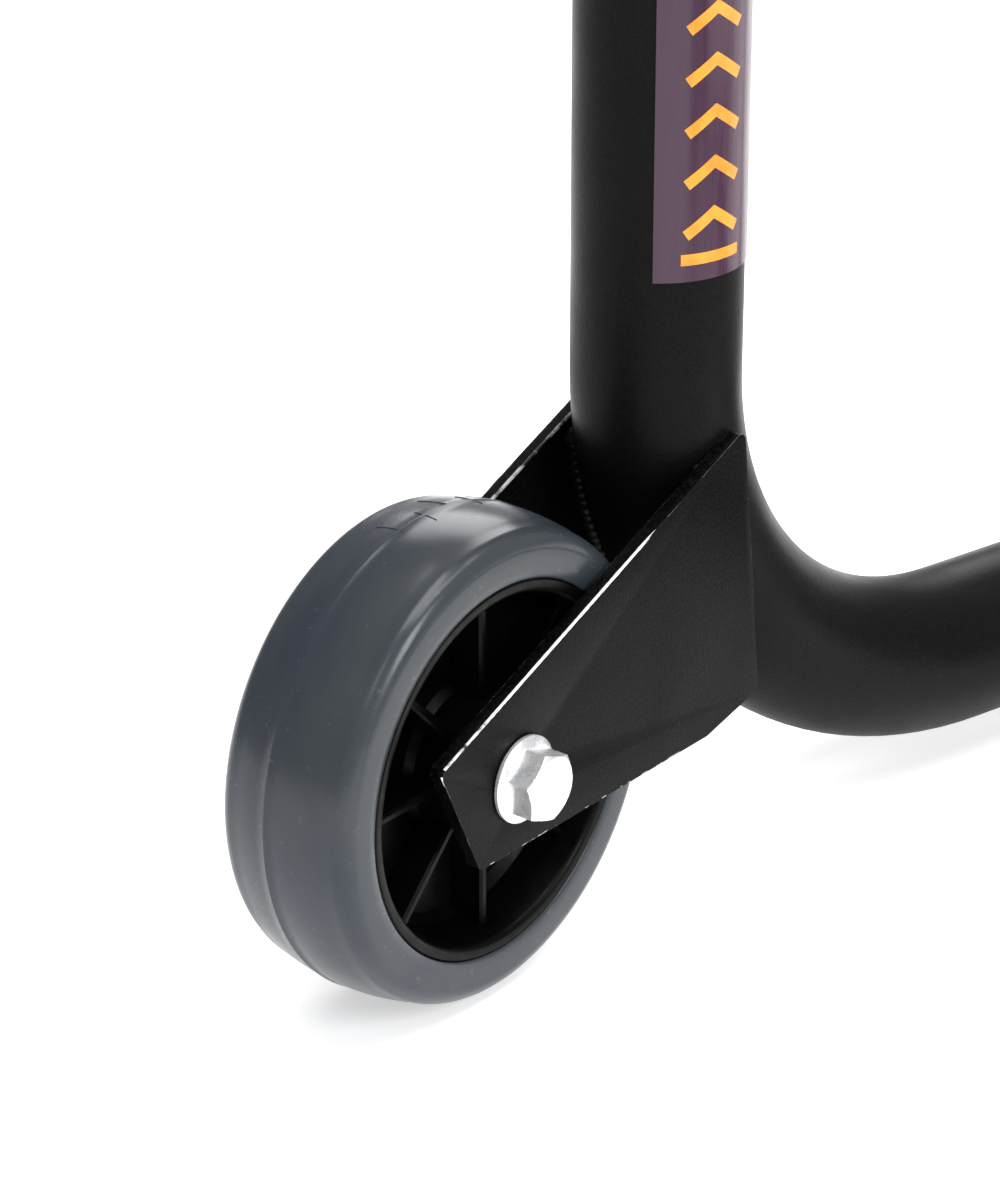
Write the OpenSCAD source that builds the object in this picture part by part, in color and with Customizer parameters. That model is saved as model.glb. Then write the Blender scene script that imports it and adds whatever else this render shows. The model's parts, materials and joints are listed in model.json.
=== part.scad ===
// Rear paddock stand for a motorcycle: a bent steel tube frame on two wheels, with sliding arms
// that carry swivelling rubber rests under the swingarm, and a bolted handle at the back.
// Frame: X runs from the wheels (-) to the handle (+), Y from left (-) to right (+), Z is up.
// The origin is on the floor, under the middle of the stand's bounding box.

/* [Overall] */
// Length from the front of the wheels to the back of the handle
overall_len = 640; // [630:5:680]
// Distance between the two upright tubes, centre to centre
track = 430; // [420:5:450]
// Height of the top end of the upright tubes
upright_top = 270; // [240:5:320]

/* [Frame tube] */
// Outside diameter of the main tube
tube_od = 35; // [34:0.5:36]
// Wall thickness of the frame tubes
tube_wall = 2; // [1.5:0.5:2]
// Centreline radius of the bend between upright and rail
bend_r = 86; // [80:1:90]
// Gap between the rail's underside and the floor
rail_gap = 5.5; // [5:0.5:10]
// Angle by which each rail turns in towards the handle
rail_turn = 14; // [12:0.5:14]
// Distance along X from the upright to the end of the rail
rail_run = 320; // [310:5:330]
// Distance along X from the upright to the crossbar
crossbar_run = 190; // [170:5:195]
// Outside diameter of the crossbar
crossbar_od = 30; // [25:1:32]

/* [Wheels] */
// Diameter over the tyre
wheel_d = 100; // [98:1:104]
// Width of the tyre
wheel_w = 32; // [30:1:33]
// Distance along X from the upright back to the axle
axle_set = 70; // [68:1:74]
// Outside diameter of the hub's rim, where the tyre starts
hub_d = 78; // [74:1:80]
// Number of radial ribs in the hub
hub_ribs = 8; // [6:1:10]

/* [Wheel brackets] */
// Thickness of each bracket plate
plate_t = 3; // [3:0.5:4]

/* [Sliding arms] */
// Outside size of the square receiver
receiver_size = 38; // [38:1:40]
// Length of the receiver
receiver_len = 70; // [60:5:80]
// Outside size of the square arm
arm_size = 30; // [30:0.5:30.5]
// Distance from the middle of the stand to the rest's pin
rest_y = 145; // [140:1:148]
// Length of the arm from the pin to its outer end
arm_len = 115; // [110:5:120]

/* [Rests] */
// Length of a rest along the swingarm
rest_len = 60; // [50:5:70]
// Width of a rest
rest_w = 46; // [44:1:50]
// Height of the lip above the underside of the rest
lip_h = 39; // [34:1:45]
// Thickness of the rubber
rubber_t = 8; // [6:1:10]

/* [Handle] */
// Outside diameter of the handle's tubes
handle_od = 30; // [28:0.5:30]
// Length of the bar across the top of the legs
bar_len = 250; // [230:5:270]
// Length of the grip
grip_len = 124; // [90:2:130]
// Thickness of the grip's rubber
grip_t = 5; // [3:1:7]

/* [Hidden] */
$fn = 64;
slip = 0.08;                       // radial clearance of a pin or screw that turns in its bore
face_gap = 0.1;                    // gap between flat faces that turn on each other
half_track = track / 2;
tube_r = tube_od / 2;
upright_x = -overall_len / 2 + wheel_d / 2 + axle_set;
rail_z = rail_gap + tube_r;
rail_dir = [cos(rail_turn), -sin(rail_turn), 0];
rail_side = [sin(rail_turn), cos(rail_turn), 0];
rail_end = [upright_x + rail_run, half_track - rail_run * tan(rail_turn), rail_z];
side_path = [[upright_x, half_track, upright_top], [upright_x, half_track, rail_z], rail_end];

axle = [upright_x - axle_set, half_track, wheel_d / 2];
bracket_half_gap = tube_r - 0.2;   // the plates bite 0.2 mm into the tube, where they are welded
bracket_half = bracket_half_gap + plate_t;
bracket_outline = [[-25, 10.5], [-13, -15], [62, -15], [80, -11], [73, 49.7]];
bracket_corner_r = 2;
bolt_r = 3.95;                     // M8
bolt_hole_r = 4.25;
sleeve_r = 6;
hub_bore_r = sleeve_r + slip;
hub_boss_r = 14;

receiver_z = upright_top + receiver_size / 2;
receiver_in = arm_size + 1;
pin_r = 8;
boss_r = 14;
boss_top = receiver_z + receiver_size / 2 + 3;
boss_bottom = upright_top - 3;
washer_t = 2;
rest_z = boss_top + washer_t;      // underside of the rest plate
rest_plate_t = 4;
pin_end = boss_bottom - 12;
clip_z = boss_bottom - 6;
clip_r = 1.2;

stud_r = 4.95;                     // M10
nut_m10_h = 8;
tip_t = 3;
tip_stem = 4;
tip_stem_r = 2.4;
knob_x = receiver_size / 2 + nut_m10_h + 5;
knob_h = 23;
knob_bore = 14;                    // how far the stud reaches into the knob

handle_r = handle_od / 2;
handle_x = overall_len / 2 - handle_r - grip_t;
handle_slope = 45;
leg_bend_r = 60;
leg_lead = 30;                     // from the end of the rail to the leg's corner
leg_fit = 125;                     // how far a leg reaches into its rail
leg_corner = rail_end + rail_dir * leg_lead;
leg_rise = (handle_x - leg_corner.x) / rail_dir.x;
leg_top = leg_corner + rail_dir * leg_rise + [0, 0, leg_rise * tan(handle_slope)];
leg_path = [rail_end - rail_dir * leg_fit, leg_corner, leg_top];
leg_bolt_at = [66, 94];            // distances from the end of the rail
weld_gap = 0.5;                    // between a leg's coped end and the bar, filled by the weld
foot_len = 50;
cap_t = 3;

SIDE_PARTS = ["side_tube", "bracket_inner", "bracket_outer", "receiver", "foot", "label",
              "handle_leg", "bar_cap",
              "tyre", "hub", "arm_tube", "arm_boss", "arm_plug",
              "rest_plate", "rest_pin", "rest_pad", "rest_washer", "rest_clip",
              "clamp_tip", "clamp_stud", "clamp_knob"];
SHARED_PARTS = ["crossbar", "handle_bar", "handle_grip", "leg_bolts", "leg_nuts",
                "axle_bolts", "axle_sleeves", "axle_nuts", "clamp_nuts"];
NODES = concat([for (side = ["right", "left"]) for (part = SIDE_PARTS) str(side, "_", part)],
               SHARED_PARTS);
node = "all";

BLACK = [0.13, 0.13, 0.13];
ZINC = [0.82, 0.83, 0.84];
GREY_TYRE = [0.36, 0.39, 0.42];
SOFT_BLACK = [0.07, 0.07, 0.07];

// ---- helpers ----

function unit(v) = v / norm(v);

// Puts its children at p with their X, Y and Z along u, v and w
module placed(p, u, v, w) {
    multmatrix([[u.x, v.x, w.x, p.x], [u.y, v.y, w.y, p.y], [u.z, v.z, w.z, p.z]]) children();
}

// A ring, or a disc where inner is 0
module ring(outer, inner) {
    difference() {
        circle(outer);
        if (inner > 0) circle(inner);
    }
}

// A round tube from path[0] to path[2] that bends round path[1]. Each straight's ring is turned to
// start on the outside of the bend, where the bend's own ring starts.
module pipe(path, bend, outer, inner = 0) {
    d = unit(path[1] - path[0]);
    e = unit(path[2] - path[1]);
    angle = acos(d * e);
    cut = bend * tan(angle / 2);
    inward = unit(e - d * (d * e));
    placed(path[1] - d * cut, inward, cross(d, inward), d) {
        mirror([0, 0, 1]) straight(norm(path[1] - path[0]) - cut, outer, inner);
        translate([bend, 0, 0]) {
            rotate([-90, 0, 0]) rotate_extrude(angle = angle, start = 180)
                translate([bend, 0]) ring(outer, inner);
            rotate([0, angle, 0]) translate([-bend, 0, 0])
                straight(norm(path[2] - path[1]) - cut, outer, inner);
        }
    }
}

module straight(length, outer, inner) {
    rotate([0, 0, 180]) linear_extrude(length) ring(outer, inner);
}

module rounded_square(size, r) {
    offset(r = r, $fn = 32) square(size - 2 * r, center = true);
}

// Draws the right-hand side's children on the right (s = 1) or mirrored on the left (s = -1)
module on_side(s) {
    if (s > 0) children();
    else mirror([0, 1, 0]) children();
}

// M8 flange bolt on +Z, bearing on z = 0, with its shank below
module flange_bolt(length) {
    translate([0, 0, -length]) cylinder(r = bolt_r, h = length);
    cylinder(r = 8.95, h = 1.2);
    translate([0, 0, 1.2]) cylinder(r1 = 8.95, r2 = 7.2, h = 1);
    translate([0, 0, 1.2]) cylinder(r = 6.5 / cos(30), h = 6.3, $fn = 6);
}

// M8 flange nut on +Z, bearing on z = 0, with a round locking collar
module flange_nut() {
    difference() {
        union() {
            cylinder(r = 8.7, h = 1.4);
            cylinder(r = 6.5 / cos(30), h = 7, $fn = 6);
            translate([0, 0, 7]) cylinder(r = 5.8, h = 1.8);
        }
        translate([0, 0, -1]) cylinder(r = bolt_r + 0.1, h = 12);
    }
}

module at_axle() {
    translate(axle) children();
}

module at_rest_pin() {
    translate([upright_x, rest_y, 0]) children();
}

// At the middle of the receiver, with Z pointing back out of the clamp hole
module at_clamp() {
    translate([upright_x, half_track, receiver_z]) rotate([0, 90, 0]) children();
}

// At each bolt through a rail and its leg, with Z pointing out to the side
module at_leg_bolts() {
    for (back = leg_bolt_at)
        placed(rail_end - rail_dir * back, rail_dir, [0, 0, -1], rail_side) children();
}

// ---- frame ----

// One tube: upright, bend and rail
module side_tube() {
    color(BLACK) difference() {
        pipe(side_path, bend_r, tube_r, tube_r - tube_wall);
        at_leg_bolts() cylinder(r = bolt_hole_r, h = 2 * tube_od, center = true);
    }
}

module crossbar() {
    color(BLACK) difference() {
        translate([upright_x + crossbar_run, 0, rail_z]) rotate([90, 0, 0])
            linear_extrude(2 * (half_track - crossbar_run * tan(rail_turn)), center = true)
                ring(crossbar_od / 2, crossbar_od / 2 - tube_wall);
        for (s = [1, -1]) on_side(s) pipe(side_path, bend_r, tube_r);
    }
}

// A wheel bracket plate beside the tube: side 1 is the outer one, -1 the inner one
module bracket(side) {
    color(BLACK) difference() {
        at_axle() translate([0, side * (bracket_half_gap + plate_t / 2), 0]) rotate([90, 0, 0])
            linear_extrude(plate_t, center = true) difference() {
                offset(r = bracket_corner_r, $fn = 32) offset(delta = -bracket_corner_r)
                    polygon(bracket_outline);
                circle(bolt_hole_r);
            }
        pipe(side_path, bend_r, tube_r);
    }
}

// Square sleeve on top of the upright, with a clamp hole in its back wall
module receiver() {
    color(BLACK) difference() {
        translate([upright_x, half_track, receiver_z]) rotate([90, 0, 0])
            linear_extrude(receiver_len, center = true) difference() {
                rounded_square(receiver_size, 4);
                rounded_square(receiver_in, 1.5);
            }
        at_clamp() cylinder(r = stud_r + 0.55, h = receiver_size);
    }
}

module clamp_nut() {
    color(ZINC) at_clamp() translate([0, 0, receiver_size / 2]) difference() {
        cylinder(r = 8.5 / cos(30), h = nut_m10_h, $fn = 6);
        translate([0, 0, -1]) cylinder(r = stud_r + slip, h = nut_m10_h + 2);
    }
}

// Rubber sleeve with a flat sole, round the end of the rail
module foot() {
    color(SOFT_BLACK)
        placed(rail_end - rail_dir * foot_len, rail_side, [0, 0, 1], rail_dir)
            linear_extrude(foot_len) difference() {
                union() {
                    circle(tube_r + 4);
                    translate([-tube_r, -rail_z]) square([tube_od, rail_z]);
                }
                circle(tube_r + 0.05);
            }
}

// Printed film round the side of the upright that faces the other upright
label_z = 133.5;
label_h = 115;
label_arc = 114;
label_t = 0.35;
module label() {
    color([0.26, 0.13, 0.22]) translate([upright_x, half_track, label_z])
        rotate([0, 0, -90 - label_arc / 2])
            rotate_extrude(angle = label_arc) translate([tube_r + 0.02, 0]) square([label_t, label_h]);
}

// ---- wheels ----

crown = 1.2;
shoulder_r = 5;
module tyre() {
    half_w = wheel_w / 2;
    edge_r = wheel_d / 2 - crown;
    flat = half_w - shoulder_r;
    tread = [for (i = [-4:4]) let (y = flat * i / 5) [wheel_d / 2 - crown * pow(y / flat, 2), y]];
    shoulder = [for (a = [0:15:90])
        [edge_r - shoulder_r + shoulder_r * cos(a), flat + shoulder_r * sin(a)]];
    other = [for (i = [len(shoulder) - 1:-1:0]) [shoulder[i].x, -shoulder[i].y]];
    color(GREY_TYRE) at_axle() rotate([90, 0, 0]) rotate_extrude()
        polygon(concat([[hub_d / 2, -half_w]], other, tread, shoulder, [[hub_d / 2, half_w]]));
}

rim_t = 3;
rib_t = 2.6;
web_half = 3.5;
rib_half = 11;
module hub() {
    rim_half = wheel_w / 2 - 0.3;
    boss_half = bracket_half_gap - 0.5;
    color(SOFT_BLACK) at_axle() rotate([90, 0, 0]) difference() {
        union() {
            rotate_extrude() polygon([
                [0, -boss_half], [hub_boss_r, -boss_half], [hub_boss_r, -web_half],
                [hub_d / 2 - rim_t - 1, -web_half], [hub_d / 2 - rim_t, -rim_half], [hub_d / 2, -rim_half],
                [hub_d / 2, rim_half], [hub_d / 2 - rim_t, rim_half], [hub_d / 2 - rim_t - 1, web_half],
                [hub_boss_r, web_half], [hub_boss_r, boss_half], [0, boss_half]]);
            for (i = [0:hub_ribs - 1]) rotate([0, 0, i * 360 / hub_ribs])
                translate([hub_boss_r - 1, -rib_t / 2, -rib_half])
                    cube([hub_d / 2 - rim_t - hub_boss_r + 0.6, rib_t, 2 * rib_half]);
        }
        cylinder(r = hub_bore_r, h = 2 * wheel_w, center = true);
    }
}

module axle_bolt() {
    color(ZINC) at_axle() translate([0, -bracket_half, 0]) rotate([90, 0, 0]) flange_bolt(52);
}

module axle_nut() {
    color(ZINC) at_axle() translate([0, bracket_half, 0]) rotate([-90, 0, 0]) flange_nut();
}

module axle_sleeve() {
    color(ZINC) at_axle() rotate([90, 0, 0])
        linear_extrude(2 * bracket_half_gap, center = true) ring(sleeve_r, bolt_r + 0.2);
}

// ---- sliding arms ----

plug_t = 2.5;
module arm_tube() {
    start = rest_y + 8;
    color(BLACK) difference() {
        translate([upright_x, start, receiver_z]) rotate([-90, 0, 0])
            linear_extrude(rest_y + arm_len - plug_t - start) difference() {
                rounded_square(arm_size, 3);
                rounded_square(arm_size - 6, 1.5);
            }
        at_rest_pin() cylinder(r = boss_r, h = 2 * boss_top);
    }
}

// Upright socket welded to the arm's inner end
module arm_boss() {
    color(BLACK) at_rest_pin() translate([0, 0, boss_bottom]) difference() {
        cylinder(r = boss_r, h = boss_top - boss_bottom);
        translate([0, 0, -1]) cylinder(r = pin_r + slip, h = boss_top);
    }
}

module arm_plug() {
    insert = 12;
    color(SOFT_BLACK) translate([upright_x, rest_y + arm_len, receiver_z]) rotate([90, 0, 0]) {
        linear_extrude(plug_t) rounded_square(arm_size, 3);
        translate([0, 0, plug_t]) linear_extrude(insert) rounded_square(arm_size - 6.4, 1.5);
    }
}

// ---- rests ----

module across_x(length) {
    rotate([90, 0, 90]) linear_extrude(length, center = true) children();
}

// Bent steel angle: base and outer lip
module rest_plate() {
    half = rest_w / 2;
    color(BLACK) at_rest_pin() translate([0, 0, rest_z]) across_x(rest_len)
        polygon(concat([[-half, 0]],
            [for (a = [-90:15:0]) [half - 5 + 5 * cos(a), 5 + 5 * sin(a)]],
            [[half, lip_h], [half - rest_plate_t, lip_h], [half - rest_plate_t, rest_plate_t],
             [-half, rest_plate_t]]));
}

module rest_pin() {
    color(ZINC) at_rest_pin() difference() {
        union() {
            translate([0, 0, pin_end + 1.5]) cylinder(r = pin_r, h = rest_z - pin_end - 1.5);
            translate([0, 0, pin_end]) cylinder(r1 = pin_r - 1.5, r2 = pin_r, h = 1.5);
        }
        translate([0, 0, clip_z]) rotate([0, 90, 0]) cylinder(r = clip_r + 0.3, h = 4 * pin_r, center = true);
    }
}

module rest_pad() {
    half = rest_w / 2 - rest_plate_t;
    base = rest_plate_t + rubber_t;
    color(SOFT_BLACK) at_rest_pin() translate([0, 0, rest_z]) across_x(rest_len)
        polygon([[-rest_w / 2, rest_plate_t], [half, rest_plate_t], [half, lip_h],
                 [half - rubber_t, lip_h], [half - rubber_t, base], [-rest_w / 2, base]]);
}

module rest_washer() {
    color([0.85, 0.85, 0.8]) at_rest_pin() translate([0, 0, boss_top + face_gap])
        linear_extrude(washer_t - 2 * face_gap) ring(boss_r, pin_r + 0.1);
}

// Split pin through the rest's pin, with a round eye
module rest_clip() {
    eye_r = 3.2;
    shank = 22;
    color(ZINC) at_rest_pin() translate([0, 0, clip_z]) {
        rotate([0, 90, 0]) cylinder(r = clip_r, h = shank, center = true);
        translate([-shank / 2 - eye_r, 0, 0]) rotate_extrude() translate([eye_r, 0]) circle(clip_r);
    }
}

// ---- clamp screws ----

// Brass thrust pad that bears on the arm and stays still while the screw turns on its stem
module clamp_tip() {
    color([0.75, 0.6, 0.3]) at_clamp() translate([0, 0, arm_size / 2 + face_gap]) {
        cylinder(r = 4, h = tip_t);
        cylinder(r = tip_stem_r, h = tip_t + tip_stem);
    }
}

module clamp_stud() {
    start = arm_size / 2 + tip_t + 2 * face_gap;
    color(ZINC) at_clamp() translate([0, 0, start]) difference() {
        cylinder(r = stud_r, h = knob_x + knob_bore - start);
        translate([0, 0, -1]) cylinder(r = tip_stem_r + slip, h = tip_stem + 1.2);
    }
}

// Star knob with five lobes on a round neck
module clamp_knob() {
    color(SOFT_BLACK) at_clamp() translate([0, 0, knob_x]) difference() {
        union() {
            cylinder(r1 = 9, r2 = 11, h = 9);
            translate([0, 0, 9]) linear_extrude(knob_h - 9) {
                circle(15);
                for (i = [0:4]) rotate([0, 0, i * 72]) translate([14.5, 0]) circle(6);
            }
        }
        translate([0, 0, -1]) cylinder(r = stud_r + 0.05, h = knob_bore + 1.5);
    }
}

// ---- handle ----

module at_bar() {
    translate([handle_x, 0, leg_top.z]) rotate([90, 0, 0]) children();
}

module handle_leg() {
    color(BLACK) difference() {
        pipe(leg_path, leg_bend_r, handle_r, handle_r - tube_wall);
        at_leg_bolts() cylinder(r = bolt_hole_r, h = 2 * tube_od, center = true);
        at_bar() cylinder(r = handle_r + weld_gap, h = bar_len, center = true);
    }
}

module handle_bar() {
    color(BLACK) at_bar() linear_extrude(bar_len, center = true) ring(handle_r, handle_r - tube_wall);
}

module handle_grip() {
    color(SOFT_BLACK) at_bar() linear_extrude(grip_len, center = true)
        ring(handle_r + grip_t, handle_r + 0.05);
}

// Plastic plug in the end of the handle's bar
module bar_cap() {
    color(SOFT_BLACK) translate([handle_x, bar_len / 2, leg_top.z]) rotate([-90, 0, 0]) {
        cylinder(r = handle_r, h = cap_t);
        translate([0, 0, -12]) cylinder(r = handle_r - tube_wall - 0.05, h = 12);
    }
}

module leg_bolt() {
    color(ZINC) at_leg_bolts() translate([0, 0, tube_r]) flange_bolt(48);
}

module leg_nut() {
    color(ZINC) at_leg_bolts() translate([0, 0, -tube_r]) mirror([0, 0, 1]) flange_nut();
}

// ---- nodes ----

function shown(name) = node == "all" || node == name;

for (s = [1, -1]) on_side(s) {
    side = s > 0 ? "right_" : "left_";
    if (shown(str(side, "side_tube"))) side_tube();
    if (shown(str(side, "bracket_inner"))) bracket(-1);
    if (shown(str(side, "bracket_outer"))) bracket(1);
    if (shown(str(side, "receiver"))) receiver();
    if (shown(str(side, "foot"))) foot();
    if (shown(str(side, "label"))) label();
    if (shown(str(side, "handle_leg"))) handle_leg();
    if (shown(str(side, "bar_cap"))) bar_cap();
    if (shown(str(side, "tyre"))) tyre();
    if (shown(str(side, "hub"))) hub();
    if (shown(str(side, "arm_tube"))) arm_tube();
    if (shown(str(side, "arm_boss"))) arm_boss();
    if (shown(str(side, "arm_plug"))) arm_plug();
    if (shown(str(side, "rest_plate"))) rest_plate();
    if (shown(str(side, "rest_pin"))) rest_pin();
    if (shown(str(side, "rest_pad"))) rest_pad();
    if (shown(str(side, "rest_washer"))) rest_washer();
    if (shown(str(side, "rest_clip"))) rest_clip();
    if (shown(str(side, "clamp_tip"))) clamp_tip();
    if (shown(str(side, "clamp_stud"))) clamp_stud();
    if (shown(str(side, "clamp_knob"))) clamp_knob();
    if (shown("axle_bolts")) axle_bolt();
    if (shown("axle_sleeves")) axle_sleeve();
    if (shown("axle_nuts")) axle_nut();
    if (shown("clamp_nuts")) clamp_nut();
    if (shown("leg_bolts")) leg_bolt();
    if (shown("leg_nuts")) leg_nut();
}
if (shown("crossbar")) crossbar();
if (shown("handle_bar")) handle_bar();
if (shown("handle_grip")) handle_grip();
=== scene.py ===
import json
import random
from math import atan2, ceil, cos, floor, hypot, pi, radians, sin, sqrt, tan

import bmesh
import bpy
from mathutils import Matrix, Vector


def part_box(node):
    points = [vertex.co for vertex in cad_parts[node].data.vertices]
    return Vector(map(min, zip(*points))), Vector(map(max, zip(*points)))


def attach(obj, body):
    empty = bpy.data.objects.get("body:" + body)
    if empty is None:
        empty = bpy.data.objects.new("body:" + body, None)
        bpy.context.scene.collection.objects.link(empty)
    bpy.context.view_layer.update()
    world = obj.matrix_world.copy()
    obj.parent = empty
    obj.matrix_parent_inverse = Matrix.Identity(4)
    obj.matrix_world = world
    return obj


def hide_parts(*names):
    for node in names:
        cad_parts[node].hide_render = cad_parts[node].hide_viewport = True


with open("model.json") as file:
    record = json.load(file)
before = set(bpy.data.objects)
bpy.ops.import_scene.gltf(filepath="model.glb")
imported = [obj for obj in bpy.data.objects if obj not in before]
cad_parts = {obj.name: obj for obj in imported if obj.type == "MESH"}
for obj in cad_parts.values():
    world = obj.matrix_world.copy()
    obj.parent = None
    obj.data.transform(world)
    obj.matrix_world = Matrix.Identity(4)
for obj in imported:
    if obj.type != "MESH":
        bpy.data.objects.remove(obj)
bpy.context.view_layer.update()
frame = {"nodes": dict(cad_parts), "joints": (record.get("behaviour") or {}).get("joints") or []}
random.seed(7)
scene = bpy.context.scene
MM = 0.001
TINY = 1e-7

# ---- places, from the frame ----

SIDES = ("right", "left")
JOINTS = {j["name"]: j for j in frame["joints"]}
AXLE = Vector(JOINTS["right_wheel_spin"]["pos_m"])
REST = Vector(JOINTS["right_rest_swivel"]["pos_m"])
KNOB = Vector(JOINTS["right_knob_turn"]["pos_m"])
TUBE_LOW, TUBE_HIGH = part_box("right_side_tube")
TUBE_R = TUBE_HIGH.y - AXLE.y
UPRIGHT_X = TUBE_LOW.x + TUBE_R
UPRIGHT_TOP = TUBE_HIGH.z
RAIL_Z = TUBE_LOW.z + TUBE_R
RAIL_TURN = radians(14)
RAIL_DIR = Vector((cos(RAIL_TURN), -sin(RAIL_TURN), 0))
RAIL_SIDE = Vector((sin(RAIL_TURN), cos(RAIL_TURN), 0))
BEND_R = 86 * MM
TUBE_WALL = 2 * MM
UP = Vector((0, 0, 1))
X_DIR = Vector((1, 0, 0))
Y_DIR = Vector((0, 1, 0))


def middle(node):
    low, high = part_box(node)
    return (low + high) / 2


def on_rail(x):
    """The point of the rail's centreline at this x."""
    return Vector((x, AXLE.y - (x - UPRIGHT_X) * tan(RAIL_TURN), RAIL_Z))


RAIL_END = on_rail(TUBE_HIGH.x - TUBE_R * sin(RAIL_TURN))
BAR = middle("handle_bar")
BAR_LOW, BAR_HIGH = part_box("handle_bar")
BAR_R = (BAR_HIGH.z - BAR_LOW.z) / 2


# ---- materials ----

class Shader:
    """A Principled material with object coordinates, and short ways to wire its textures."""

    def __init__(self, name, colour, roughness, metallic=0.0, specular=0.5):
        self.material = bpy.data.materials.new(name)
        self.material.use_nodes = True
        self.nodes = self.material.node_tree.nodes
        self.links = self.material.node_tree.links
        self.bsdf = self.nodes["Principled BSDF"]
        self.set("Base Color", (*colour, 1))
        self.set("Roughness", roughness)
        self.set("Metallic", metallic)
        self.set("Specular IOR Level", specular)
        self.where = self.nodes.new("ShaderNodeTexCoord").outputs["Object"]

    def set(self, socket, value):
        self.bsdf.inputs[socket].default_value = value

    def noise(self, scale, detail=3, rough=0.55, stretch=(1, 1, 1), distortion=0.0):
        mapping = self.nodes.new("ShaderNodeMapping")
        mapping.inputs["Scale"].default_value = stretch
        texture = self.nodes.new("ShaderNodeTexNoise")
        texture.inputs["Scale"].default_value = scale
        texture.inputs["Detail"].default_value = detail
        texture.inputs["Roughness"].default_value = rough
        texture.inputs["Distortion"].default_value = distortion
        self.links.new(self.where, mapping.inputs["Vector"])
        self.links.new(mapping.outputs["Vector"], texture.inputs["Vector"])
        return texture.outputs["Fac"]

    def ramp(self, value, stops):
        """Turns a number into a colour through (place, colour) stops."""
        ramp = self.nodes.new("ShaderNodeValToRGB")
        elements = ramp.color_ramp.elements
        while len(elements) < len(stops):
            elements.new(1.0)
        for element, (place, colour) in zip(elements, stops):
            element.position = place
            element.color = (*colour, 1) if len(colour) == 3 else colour
        self.links.new(value, ramp.inputs["Fac"])
        return ramp.outputs["Color"]

    def grey_ramp(self, value, low, high):
        return self.ramp(value, [(0.3, (low,) * 3), (0.7, (high,) * 3)])

    def mix(self, factor, a, b):
        node = self.nodes.new("ShaderNodeMix")
        node.data_type = "RGBA"
        for socket, value in ((node.inputs[0], factor), (node.inputs[6], a), (node.inputs[7], b)):
            if isinstance(value, (int, float, tuple)):
                socket.default_value = value
            else:
                self.links.new(value, socket)
        return node.outputs[2]

    def colour(self, value):
        self.links.new(value, self.bsdf.inputs["Base Color"])

    def roughness(self, value):
        self.links.new(value, self.bsdf.inputs["Roughness"])

    def bump(self, *layers):
        """Each layer is (height, distance in metres)."""
        normal = None
        for height, distance in layers:
            node = self.nodes.new("ShaderNodeBump")
            node.inputs["Strength"].default_value = 1
            node.inputs["Distance"].default_value = distance
            self.links.new(height, node.inputs["Height"])
            if normal:
                self.links.new(normal, node.inputs["Normal"])
            normal = node.outputs["Normal"]
        self.links.new(normal, self.bsdf.inputs["Normal"])


def powder_coat(name, dark, light, gloss):
    """Satin black powder coat: a fine peel with pale specks, and slow patches of more or less gloss."""
    s = Shader(name, dark, gloss, specular=0.06)
    speck = s.noise(1700, detail=3, rough=0.65)
    patch = s.ramp(s.noise(30, detail=3), [(0.35, (0, 0, 0)), (0.65, (1, 1, 1))])
    s.colour(s.mix(patch, s.ramp(speck, [(0.50, dark), (0.80, light)]),
                   s.ramp(speck, [(0.42, dark), (0.72, light)])))
    s.roughness(s.grey_ramp(s.noise(35, detail=4), gloss - 0.07, gloss + 0.1))
    s.bump((s.noise(900, detail=2), 0.00004), (speck, 0.00003))
    return s.material


def edge_wear_and_highlight(name, bright_from, bright):
    """An arris where the coat is thin: dark paint broken by runs of bright bare steel. Where bright is high,
    the runs are mostly a painted highlight along the arris.
    """
    s = Shader(name, (0.3, 0.3, 0.3), 0.36, specular=0.3)
    along = s.noise(110, detail=5, rough=0.7)
    s.colour(s.ramp(along, [(bright_from - 0.06, (0.012, 0.012, 0.012)), (bright_from, (bright * 0.6,) * 3),
                            (bright_from + 0.1, (bright,) * 3)]))
    s.bump((s.noise(1200), 0.00004))
    return s.material


def zinc(name, bright, metallic):
    """Zinc plate: clouded, with a trace of yellow where it is thickest."""
    s = Shader(name, (bright,) * 3, 0.3, metallic=metallic)
    cloud = s.noise(160, detail=4)
    s.colour(s.ramp(cloud, [(0.3, (bright * 0.88, bright * 0.9, bright * 0.93)), (0.55, (bright,) * 3),
                            (0.8, (bright * 0.97, bright * 0.96, bright * 0.91))]))
    s.roughness(s.grey_ramp(s.noise(420, detail=5), 0.2, 0.4))
    s.bump((s.noise(2400, detail=2), 0.000012))
    return s.material


def tyre_rubber():
    """Smooth cast rubber, blue-grey, with slow clouds and a fine satin tooth. The clouds' dark navy patches
    are a painted dark reflection, and the rest of the clouds is the rubber's own tone.
    """
    s = Shader("grey_rubber", (0.05, 0.058, 0.072), 0.24, specular=0.3)
    cloud = s.noise(18, detail=3, distortion=0.8)
    # Painted reflection: the dark navy stop of these slow clouds stands in for the dark reflection across
    # the tread; the other stops are the rubber's own tone.
    clouded_tone_and_reflection = s.ramp(cloud, [(0.3, (0.016, 0.021, 0.036)), (0.52, (0.028, 0.034, 0.045)),
                          (0.8, (0.044, 0.049, 0.051))])
    scuff = s.ramp(s.noise(420, detail=6, rough=0.7), [(0.62, (0, 0, 0)), (0.72, (1, 1, 1))])
    s.colour(s.mix(scuff, clouded_tone_and_reflection, s.mix(0.5, clouded_tone_and_reflection, (0.11, 0.12, 0.13, 1))))
    s.roughness(s.grey_ramp(s.noise(60, detail=5), 0.18, 0.30))
    s.bump((s.noise(1800, detail=3), 0.000012), (s.noise(90, detail=3), 0.00005))
    return s.material


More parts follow.
